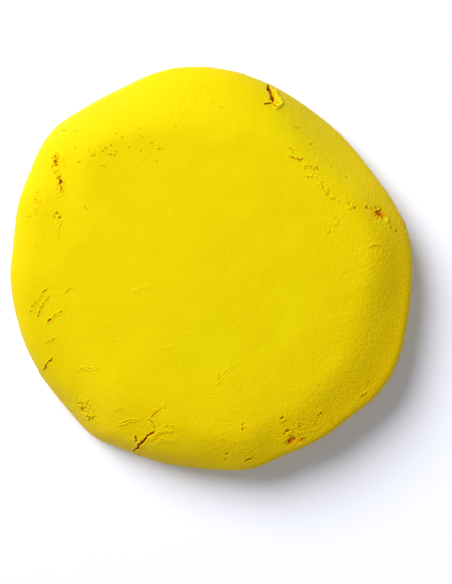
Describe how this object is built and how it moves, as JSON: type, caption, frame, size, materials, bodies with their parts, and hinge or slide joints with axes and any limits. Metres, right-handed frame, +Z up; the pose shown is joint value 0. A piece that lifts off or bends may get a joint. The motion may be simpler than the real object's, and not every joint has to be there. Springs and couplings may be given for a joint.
{
  "type": "detailing clay bar",
  "caption": "Thick round patty of kneaded yellow detailing clay, with a flat resting face, an uneven rounded rim, fine creases and small torn cracks.",
  "frame": {"origin": "centre of the patty's footprint box, on the flat face that it rests on", "axes": "+Z up out of the resting face, along the thickness; +Y towards the top edge of the patty, between the broad upper left bevel and the cleft; +X towards its right edge"},
  "size_m": [0.085, 0.0856, 0.015],
  "materials": {
    "clay": "matte, soft, hand-kneaded, with orange-brown shade inside the cracks"
  },
  "bodies": {
    "root": {"clay_bar": "clay"}
  },
  "joints": []
}
